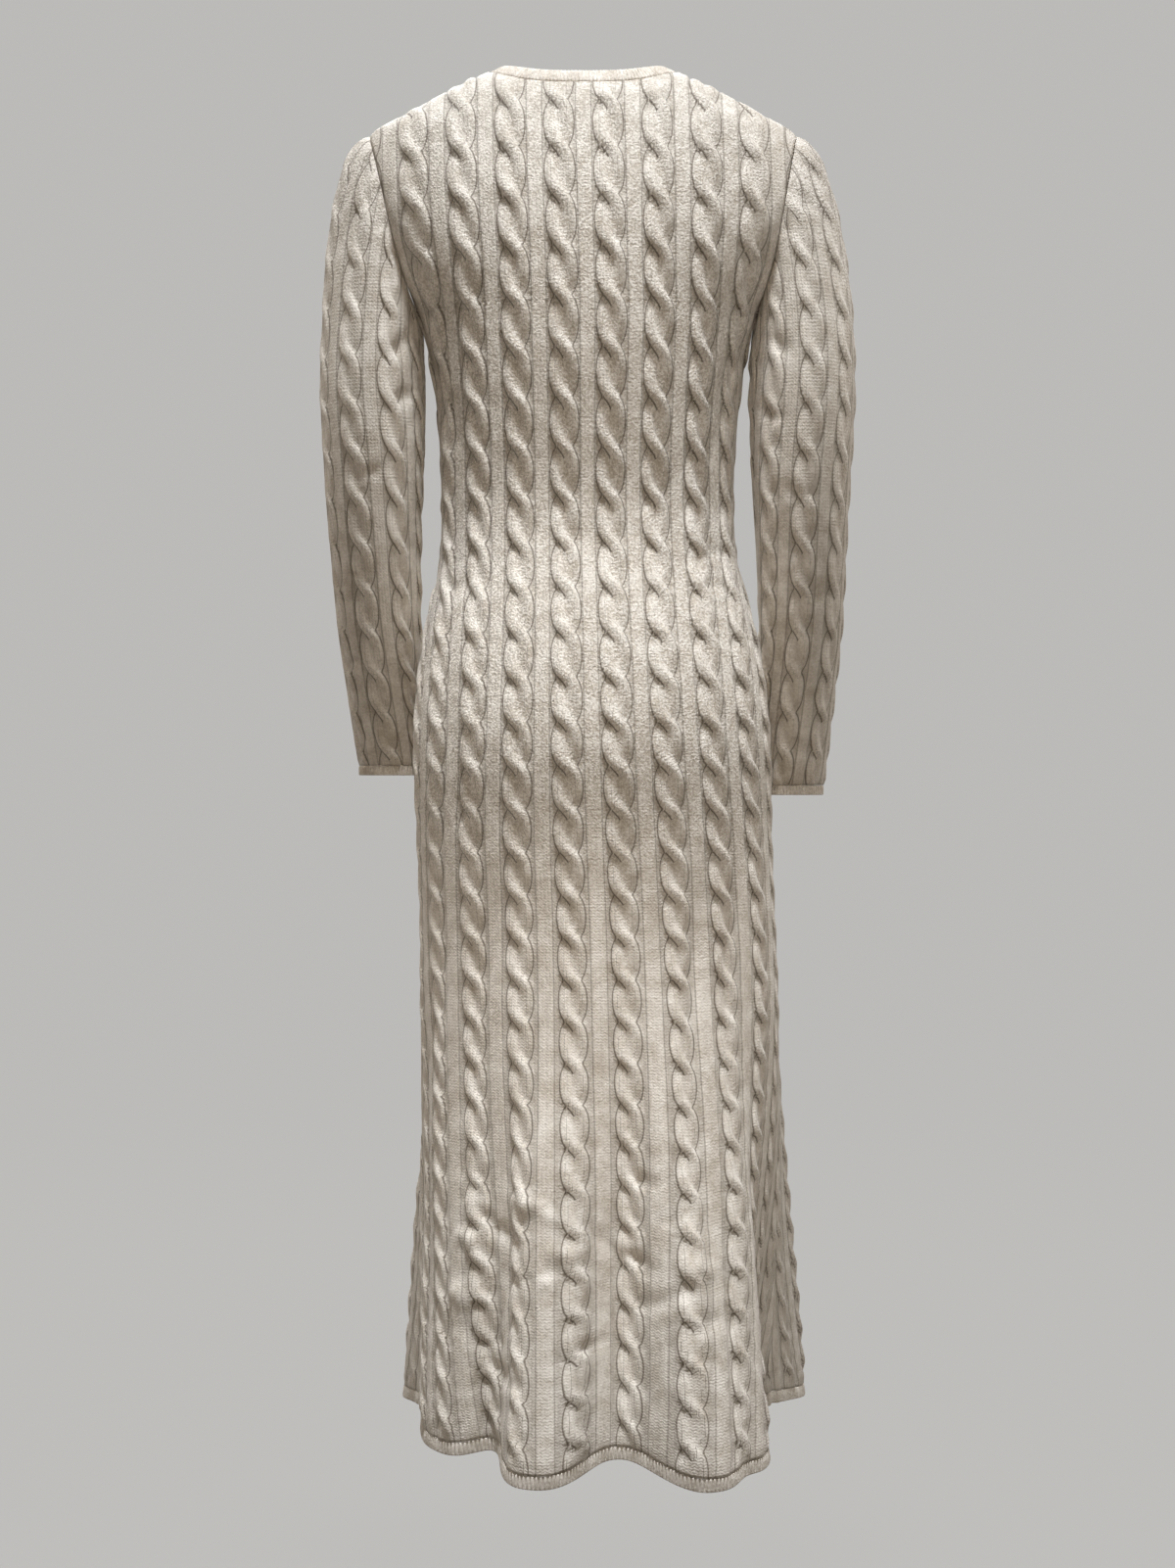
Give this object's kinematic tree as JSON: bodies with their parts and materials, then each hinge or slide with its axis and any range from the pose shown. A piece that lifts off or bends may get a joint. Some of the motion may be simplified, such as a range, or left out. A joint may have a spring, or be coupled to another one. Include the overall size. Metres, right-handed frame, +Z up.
{
  "type": "sweater dress",
  "caption": "Long-sleeved, close-fitting cable-knit sweater dress with a flared ankle-length skirt, hollow and filled out as it is worn.",
  "frame": {"origin": "midway between the two points where the neckband meets the shoulder seams, where the wearer's shoulders carry the dress", "axes": "+Z up, -Y the way the wearer faces, +X the wearer's left"},
  "size_m": [0.4768, 0.4232, 1.2131],
  "materials": {
    "cable_knit": "soft, slightly brushed oatmeal cable knit with a faint sheen",
    "rib_knit": "fine close rib knit in the same oatmeal yarn"
  },
  "bodies": {
    "root": {"back": "cable_knit", "front": "cable_knit", "sleeve_left": "cable_knit", "sleeve_right": "cable_knit", "neckband": "rib_knit", "hem_band": "rib_knit", "cuff_left": "rib_knit", "cuff_right": "rib_knit"}
  },
  "joints": []
}
